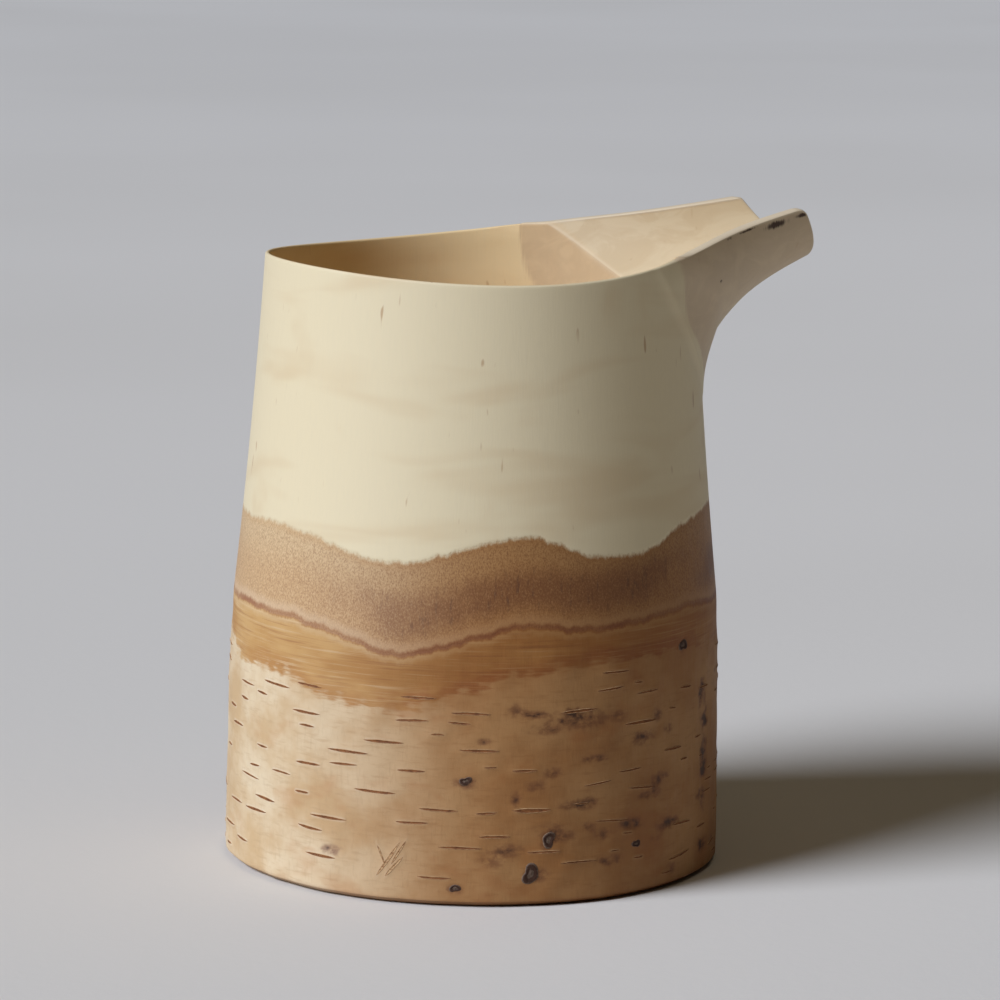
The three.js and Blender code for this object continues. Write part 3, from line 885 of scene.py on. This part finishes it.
class Tree:
    """Short calls for building one material's nodes."""

    def __init__(self, name):
        self.material = bpy.data.materials.new(name)
        self.material.use_nodes = True
        self.nodes = self.material.node_tree.nodes
        self.links = self.material.node_tree.links
        self.nodes.clear()
        self.output = self.nodes.new("ShaderNodeOutputMaterial")
        self.shader = self.nodes.new("ShaderNodeBsdfPrincipled")
        self.links.new(self.shader.outputs[0], self.output.inputs["Surface"])
        self.place = self.nodes.new("ShaderNodeTexCoord").outputs["Object"]

    def put(self, socket, value):
        if isinstance(value, bpy.types.NodeSocket):
            self.links.new(value, socket)
        elif isinstance(value, tuple) and len(value) == 3 and socket.type == "RGBA":
            socket.default_value = (*value, 1)
        else:
            socket.default_value = value

    def mark(self, name):
        node = self.nodes.new("ShaderNodeAttribute")
        node.attribute_name = name
        return node.outputs["Fac"]

    def math(self, kind, a, b=0.0, c=0.0):
        node = self.nodes.new("ShaderNodeMath")
        node.operation = kind
        for socket, value in zip(node.inputs, (a, b, c)):
            self.put(socket, value)
        return node.outputs[0]

    def add(self, a, b):
        return self.math("ADD", a, b)

    def times(self, a, b):
        return self.math("MULTIPLY", a, b)

    def fit(self, value, low, high, out_low=0.0, out_high=1.0):
        node = self.nodes.new("ShaderNodeMapRange")
        node.interpolation_type = "SMOOTHSTEP"
        for key, v in (("Value", value), ("From Min", low), ("From Max", high), ("To Min", out_low),
                       ("To Max", out_high)):
            self.put(node.inputs[key], v)
        return node.outputs["Result"]

    def noise(self, per_mm, detail=2.0, rough=0.5, seed=0.0, warp=0.0):
        """Noise with its own number of features per mm along x, y and z."""
        mapping = self.nodes.new("ShaderNodeMapping")
        self.links.new(self.place, mapping.inputs["Vector"])
        mapping.inputs["Scale"].default_value = [1000 * v for v in per_mm]
        mapping.inputs["Location"].default_value = (seed * 7.3, seed * 3.1, seed * 5.7)
        node = self.nodes.new("ShaderNodeTexNoise")
        self.links.new(mapping.outputs[0], node.inputs["Vector"])
        node.inputs["Scale"].default_value = 1.0
        node.inputs["Detail"].default_value = detail
        node.inputs["Roughness"].default_value = rough
        node.inputs["Distortion"].default_value = warp
        return node.outputs["Fac"]

    def mix(self, factor, a, b, kind="MIX"):
        node = self.nodes.new("ShaderNodeMix")
        node.data_type = "RGBA"
        node.blend_type = kind
        self.put(node.inputs[0], factor)
        self.put(node.inputs[6], a)
        self.put(node.inputs[7], b)
        return node.outputs[2]

    def paint(self, under, over, value, low, high, most=1.0):
        """A colour laid over another as a value goes from low to high."""
        return self.mix(self.fit(value, low, high, 0.0, most), under, over)

    def between(self, value, low, full, fading, high):
        """1 where a value is from full to fading, and 0 outside low and high."""
        return self.times(self.fit(value, low, full), self.fit(value, high, fading))

    def bump(self, height, distance, strength=1.0, after=None):
        node = self.nodes.new("ShaderNodeBump")
        self.put(node.inputs["Height"], height)
        node.inputs["Distance"].default_value = distance
        node.inputs["Strength"].default_value = strength
        if after is not None:
            self.links.new(after, node.inputs["Normal"])
        return node.outputs[0]

    def finish(self, colour, roughness, normal, specular=0.35):
        self.put(self.shader.inputs["Base Color"], colour)
        self.put(self.shader.inputs["Roughness"], roughness)
        self.put(self.shader.inputs["Normal"], normal)
        self.shader.inputs["Specular IOR Level"].default_value = specular
        return self.material


CREAM = (0.755, 0.63, 0.395)
CREAM_WARM = (0.65, 0.475, 0.26)
CREAM_GREY = (0.67, 0.570, 0.385)
BRANCH = (0.595, 0.440, 0.280)
FLECK = (0.40, 0.20, 0.08)


def wood_colour(tree, base=CREAM, warm=CREAM_WARM):
    """Pale close-grained birch: fine upright fibres, faint wavy bands, warm blotches and small flecks."""
    fibres = tree.noise((2.4, 2.4, 0.09), 3.0, 0.6, 1)
    bands = tree.noise((0.022, 0.022, 0.11), 2.0, 0.55, 2, 0.6)
    blotches = tree.noise((0.05, 0.05, 0.035), 3.0, 0.6, 3)
    colour = tree.paint(base, warm, bands, 0.50, 0.78, 0.50)
    colour = tree.paint(colour, warm, blotches, 0.58, 0.78, 0.45)
    colour = tree.paint(colour, CREAM_GREY, fibres, 0.35, 0.75, 0.14)
    rare = tree.noise((0.75, 0.75, 0.17), 0.0, 0.5, 4)
    gate = tree.noise((0.09, 0.09, 0.06), 0.0, 0.5, 5)
    flecks = tree.times(tree.fit(rare, 0.775, 0.85), tree.fit(gate, 0.46, 0.56, 0.0, 0.6))
    return tree.mix(flecks, colour, FLECK), fibres


def skin_material(name):
    """The log's outside: wood, speckled inner bark, the dark line, the orange layer and the outer bark."""
    tree = Tree(name)
    wood, fibres = wood_colour(tree)
    swirl = tree.noise((0.035, 0.16, 0.16), 3.0, 0.6, 22, 1.2)
    branch_wood = tree.paint(BRANCH, (0.655, 0.495, 0.315), swirl, 0.36, 0.68)
    # painted light: the branch wood on the inside made warmer and a little brighter, standing in for light
    # through the thin wall
    branch_wood = tree.mix(tree.mark("inside"), branch_wood, (1.04, 0.955, 0.80), "MULTIPLY")
    channel_wood = tree.paint((0.665, 0.490, 0.270), (0.725, 0.560, 0.330), swirl, 0.40, 0.62)
    branch_wood = tree.mix(tree.times(tree.mark("channel"), 0.8), branch_wood, channel_wood)
    # painted highlight: a paler band along the crease between bore and channel and over the spout's lip tops
    branch_wood = tree.mix(tree.times(tree.mark("crease"), 0.45), branch_wood, (0.88, 0.75, 0.53))
    # painted light: the bore's wall brightened and warmed, standing in for light shining through the thin
    # wall and bouncing inside
    wood = tree.mix(tree.times(tree.mark("inside"), 0.9), wood, (1.14, 0.99, 0.79), "MULTIPLY")
    edge = tree.add(tree.mark("branch"), tree.fit(fibres, 0.3, 0.7, -0.3, 0.3))
    wood = tree.paint(wood, branch_wood, edge, -0.5, 0.5, 0.85)

    # Wavering of the edges: upright teeth at the wood, horizontal flakes lower down.
    teeth = tree.noise((1.3, 1.3, 0.7), 3.0, 0.7, 6)
    flakes = tree.noise((0.16, 0.16, 0.9), 3.0, 0.6, 7)
    wood_side = tree.add(tree.mark("above_wood"), tree.fit(teeth, 0.25, 0.75, -0.34, 0.34))
    dark_side = tree.add(tree.mark("above_dark"), tree.fit(teeth, 0.2, 0.8, -0.3, 0.3))
    orange_side = tree.add(tree.mark("above_orange"), tree.fit(flakes, 0.2, 0.8, -1.5, 1.5))

    # Inner bark
    speckle = tree.noise((3.3, 3.3, 2.0), 3.0, 0.75, 8)
    cloud = tree.noise((0.05, 0.05, 0.06), 3.0, 0.55, 9)
    middle = tree.between(dark_side, 1.5, 6.5, 9.0, 14.5)
    middle = tree.times(middle, tree.fit(cloud, 0.30, 0.54))
    inner = tree.paint((0.61, 0.390, 0.190), (0.66, 0.465, 0.248), dark_side, 6.0, 17.0)
    # the darker middle band shows where the deep mark is strong: partly painted shade on the side away from
    # the key light
    browner = tree.times(tree.times(middle, 0.85), tree.fit(tree.mark("deep"), 0.1, 0.6))
    inner = tree.mix(browner, inner, (0.35, 0.190, 0.095))
    strands = tree.noise((1.1, 1.1, 0.22), 3.0, 0.65, 17)
    darkest = tree.times(browner, tree.fit(strands, 0.54, 0.70, 0.0, 0.75))
    inner = tree.mix(darkest, inner, (0.15, 0.090, 0.075))
    inner = tree.paint(inner, (0.30, 0.150, 0.075), speckle, 0.44, 0.64, 0.60)
    inner = tree.paint(inner, (0.78, 0.59, 0.38), speckle, 0.48, 0.34, 0.35)
    rind = tree.times(tree.fit(wood_side, -2.2, -0.4), 0.30)
    inner = tree.mix(rind, inner, (0.52, 0.30, 0.12))

    # The pale line, then the dark line
    pale = tree.between(dark_side, 0.2, 0.9, 1.3, 3.2)
    inner = tree.mix(tree.times(pale, 0.6), inner, (0.68, 0.48, 0.29))
    line = tree.between(dark_side, -1.1, -0.2, 0.1, 1.2)
    line = tree.times(line, tree.fit(cloud, 0.35, 0.6, 0.45, 0.85))
    fringe = tree.times(tree.between(dark_side, -2.6, -1.1, -1.1, -0.5), 0.45)

    # The orange layer, finely streaked round the log
    streaks = tree.noise((0.045, 0.045, 1.9), 3.0, 0.65, 10)
    patches = tree.noise((0.04, 0.04, 0.12), 3.0, 0.6, 11)
    orange = tree.paint((0.60, 0.360, 0.135), (0.50, 0.262, 0.082), patches, 0.35, 0.65)
    rust = tree.times(tree.fit(orange_side, 5.0, 0.5), tree.fit(patches, 0.30, 0.55, 0.2, 0.8))
    # rust made stronger on the side away from the key light by the deep mark: partly painted shade
    rust = tree.times(rust, tree.fit(tree.mark("deep"), 0.1, 0.8, 0.35, 1.0))
    orange = tree.mix(rust, orange, (0.42, 0.175, 0.055))
    orange = tree.paint(orange, (0.70, 0.50, 0.28), streaks, 0.52, 0.72, 0.65)
    orange = tree.paint(orange, (0.33, 0.14, 0.055), streaks, 0.46, 0.30, 0.50)
    orange = tree.mix(fringe, orange, (0.70, 0.50, 0.27))

    # The outer bark
    mottle = tree.noise((0.045, 0.045, 0.06), 4.0, 0.6, 12)
    grain = tree.noise((0.20, 0.20, 1.2), 3.0, 0.6, 13)
    weave = tree.noise((1.6, 1.6, 0.35), 2.0, 0.6, 14)
    bark = tree.paint((0.775, 0.625, 0.405), (0.62, 0.425, 0.220), mottle, 0.36, 0.66)
    bark = tree.paint(bark, (0.50, 0.325, 0.165), grain, 0.50, 0.74, 0.35)
    bark = tree.paint(bark, (0.46, 0.31, 0.17), weave, 0.52, 0.72, 0.15)
    rusty = tree.noise((0.06, 0.06, 0.10), 3.0, 0.6, 16)
    bark = tree.paint(bark, (0.55, 0.29, 0.12), rusty, 0.54, 0.70, 0.40)
    bark = tree.paint(bark, (0.80, 0.67, 0.49), tree.mark("lips"), 0.25, 0.85, 0.45)
    blotch = tree.noise((0.45, 0.45, 0.6), 3.0, 0.6, 15)
    stain = tree.math("MULTIPLY_ADD", tree.mark("stains"), tree.fit(blotch, 0.3, 0.7, 0.35, 1.45), -0.02)
    bark = tree.paint(bark, (0.33, 0.19, 0.120), stain, 0.06, 0.70, 0.70)
    bark = tree.paint(bark, (0.088, 0.052, 0.048), stain, 0.58, 1.25, 0.85)
    # darker outer bark round the side away from the key light: partly its own tone, partly painted shade
    bark = tree.mix(tree.mark("deep"), bark, (0.90, 0.80, 0.70), "MULTIPLY")

    lower = tree.paint(bark, orange, orange_side, -1.2, 1.2)
    colour = tree.paint(lower, inner, dark_side, -0.7, -0.2)
    colour = tree.mix(line, colour, (0.32, 0.125, 0.055))
    colour = tree.mix(tree.times(tree.mark("foot"), 0.8), colour, (0.30, 0.15, 0.07))
    # all bark layers below the wood darkened the same way: partly their own tone, partly painted shade
    colour = tree.mix(tree.mark("deep"), colour, (0.57, 0.40, 0.245), "MULTIPLY")
    colour = tree.paint(colour, wood, wood_side, -0.7, 0.6)
    remnants = tree.add(tree.mark("remnants"), tree.fit(fibres, 0.3, 0.7, -0.15, 0.15))
    colour = tree.paint(colour, (0.050, 0.020, 0.010), remnants, 0.22, 0.80, 0.95)

    rough = tree.fit(fibres, 0.3, 0.7, 0.50, 0.60)
    is_bark = tree.fit(dark_side, 0.5, -0.5)
    rough = tree.add(rough, tree.times(is_bark, 0.06))
    bark_surface = tree.add(tree.times(grain, 0.6), tree.times(weave, 0.6))
    surface = tree.mix(is_bark, tree.times(fibres, 0.4), bark_surface)
    return tree.finish(colour, rough, tree.bump(surface, 0.00012, 0.45))


def board_material():
    tree = Tree("board_wood")
    warm = (0.56, 0.41, 0.23)
    colour, fibres = wood_colour(tree, (0.70, 0.58, 0.39), warm)
    rings = tree.noise((0.015, 0.5, 0.5), 3.0, 0.6, 21, 0.4)
    colour = tree.paint(colour, warm, rings, 0.48, 0.66, 0.45)
    return tree.finish(colour, tree.fit(fibres, 0.3, 0.7, 0.52, 0.62), tree.bump(rings, 0.00012, 0.5))


def slit_material():
    tree = Tree("bark_slits")
    fine = tree.noise((0.9, 0.9, 2.4), 3.0, 0.6, 31)
    lip = tree.paint((0.56, 0.36, 0.18), (0.42, 0.23, 0.10), fine, 0.35, 0.7)
    inside = tree.paint((0.26, 0.098, 0.030), (0.14, 0.050, 0.018), fine, 0.35, 0.7)
    opening = tree.add(tree.mark("opening"), tree.fit(fine, 0.2, 0.8, -0.15, 0.15))
    colour = tree.paint(lip, inside, opening, 0.1, 0.6)
    return tree.finish(colour, 0.75, tree.bump(fine, 0.00015, 0.6), 0.25)


def knot_material():
    tree = Tree("bark_knots")
    fine = tree.noise((1.2, 1.2, 1.6), 3.0, 0.6, 51)
    ring = tree.add(tree.mark("ring"), tree.fit(fine, 0.2, 0.8, -0.25, 0.25))
    colour = tree.paint((0.27, 0.155, 0.08), (0.135, 0.088, 0.060), ring, 0.0, 0.30)
    colour = tree.paint(colour, (0.055, 0.023, 0.012), ring, 0.5, 0.9)
    return tree.finish(colour, 0.7, tree.bump(fine, 0.0002, 0.6), 0.25)


def floor_material():
    tree = Tree("pale_floor")
    cloud = tree.noise((0.002, 0.002, 0.002), 2.0, 0.5, 41)
    grain = tree.noise((0.35, 0.35, 0.35), 3.0, 0.6, 42)
    colour = tree.paint((0.70, 0.660, 0.59), (0.73, 0.690, 0.62), cloud, 0.3, 0.7)
    return tree.finish(colour, 0.85, tree.bump(grain, 0.0002, 0.25), 0.2)


# ---- Making the pieces ------------------------------------------------------------------------

make_piece("trunk_wood", trunk_points, trunk_faces, skin_material("trunk_wood"),
           layer_marks(trunk_points, trunk_shown), "trunk_wall")
channel_mark, crease_highlight_mark = channel_marks()
spout_marks = layer_marks(spout_points, False)
spout_marks.update(remnants=lip_remnants(), channel=channel_mark, crease=crease_highlight_mark)
make_piece("branch_spout_wood", spout_points, spout_faces, skin_material("branch_wood"),
           spout_marks, "branch_spout")
make_piece("inner_bark_layer", inner_bark_points, inner_bark_faces,
           skin_material("inner_bark"), layer_marks(inner_bark_points, True), "inner_bark")
bark_marks = layer_marks(bark_points, True)
bark_marks.update(lips=lips, stains=stains, foot=smoothstep(bark_points[:, 2], 1.6, 0.9))
make_piece("outer_bark_layer", bark_points, bark_faces, skin_material("outer_bark"),
           bark_marks, "outer_bark")
make_piece("bark_slits", slit_xyz, slit_faces, slit_material(), {"opening": slit_open},
           sharp=60)
make_piece("bark_knots", knot_xyz, knot_faces, knot_material(), {"ring": knot_marks}, sharp=60)
make_piece("base_board_wood", board_points, board_faces, board_material(), {}, "base_board")

# ---- Floor, light and camera ------------------------------------------------------------------

FLOOR_SIZE = 12.0
floor_mesh = bpy.data.meshes.new("floor")
corners = [(x * FLOOR_SIZE, y * FLOOR_SIZE, 0) for x, y in ((-1, -1), (1, -1), (1, 1), (-1, 1))]
floor_mesh.from_pydata(corners, [], [(0, 1, 2, 3)])
floor_mesh.materials.append(floor_material())
floor = bpy.data.objects.new("floor", floor_mesh)
bpy.context.scene.collection.objects.link(floor)

SPOUT_AZIMUTH = math.radians(26.5)
CAMERA_DISTANCE, CAMERA_HEIGHT = 1.050, 0.251
CAMERA_PITCH, CAMERA_YAW, CAMERA_ROLL = -0.1624, 0.0049, 0.0168
CAMERA_LENS = 173.38
right = Vector((math.cos(SPOUT_AZIMUTH), -math.sin(SPOUT_AZIMUTH), 0))
ahead = Vector((math.sin(SPOUT_AZIMUTH), math.cos(SPOUT_AZIMUTH), 0))
up = Vector((0, 0, 1))
axis = Vector((AXIS_X, 0, 0))

camera_data = bpy.data.cameras.new("camera")
camera_data.lens = CAMERA_LENS
camera_data.sensor_width = 36
camera = bpy.data.objects.new("camera", camera_data)
bpy.context.scene.collection.objects.link(camera)
look = (right * (math.sin(CAMERA_YAW) * math.cos(CAMERA_PITCH))
        + ahead * (math.cos(CAMERA_YAW) * math.cos(CAMERA_PITCH)) + up * math.sin(CAMERA_PITCH))
level = look.cross(up).normalized()
over = level.cross(look)
camera_right = level * math.cos(CAMERA_ROLL) + over * math.sin(CAMERA_ROLL)
camera_up = over * math.cos(CAMERA_ROLL) - level * math.sin(CAMERA_ROLL)
place = axis - ahead * CAMERA_DISTANCE + up * CAMERA_HEIGHT
camera.matrix_world = Matrix((
    (camera_right.x, camera_up.x, -look.x, place.x),
    (camera_right.y, camera_up.y, -look.y, place.y),
    (camera_right.z, camera_up.z, -look.z, place.z),
    (0, 0, 0, 1),
))
bpy.context.scene.camera = camera


def way_to(turn, elevation):
    """From the jug towards a light; turn is to the right of the camera."""
    a, e = math.radians(turn), math.radians(elevation)
    return (-ahead * math.cos(a) + right * math.sin(a)) * math.cos(e) + up * math.sin(e)


def softbox(name, turn, elevation, distance, size, power, colour):
    """An area light aimed at the jug."""
    way = way_to(turn, elevation)
    data = bpy.data.lights.new(name, "AREA")
    data.shape = "RECTANGLE"
    data.size, data.size_y = size
    data.energy = power
    data.color = colour
    light = bpy.data.objects.new(name, data)
    bpy.context.scene.collection.objects.link(light)
    light.location = axis + up * 0.07 + way * distance
    light.rotation_euler = (-way).to_track_quat("-Z", "Y").to_euler()


KEY_WAY = (-58, 37)  # turn and elevation
FILL_WAY = (100, 76)
sun_data = bpy.data.lights.new("key", "SUN")
sun_data.energy = 3.42
sun_data.angle = math.radians(28)
sun_data.color = (0.92, 1.0, 1.19)
sun = bpy.data.objects.new("key", sun_data)
bpy.context.scene.collection.objects.link(sun)
sun.rotation_euler = (-way_to(*KEY_WAY)).to_track_quat("-Z", "Y").to_euler()
softbox("fill", *FILL_WAY, 2.2, (1.6, 1.2), 4, (1.0, 0.86, 0.66))

world = bpy.data.worlds.new("studio")
bpy.context.scene.world = world
world.use_nodes = True
world.node_tree.nodes["Background"].inputs["Color"].default_value = (0.92, 0.80, 0.62, 1)
world.node_tree.nodes["Background"].inputs["Strength"].default_value = 0.025
bpy.context.scene.view_settings.view_transform = "Standard"
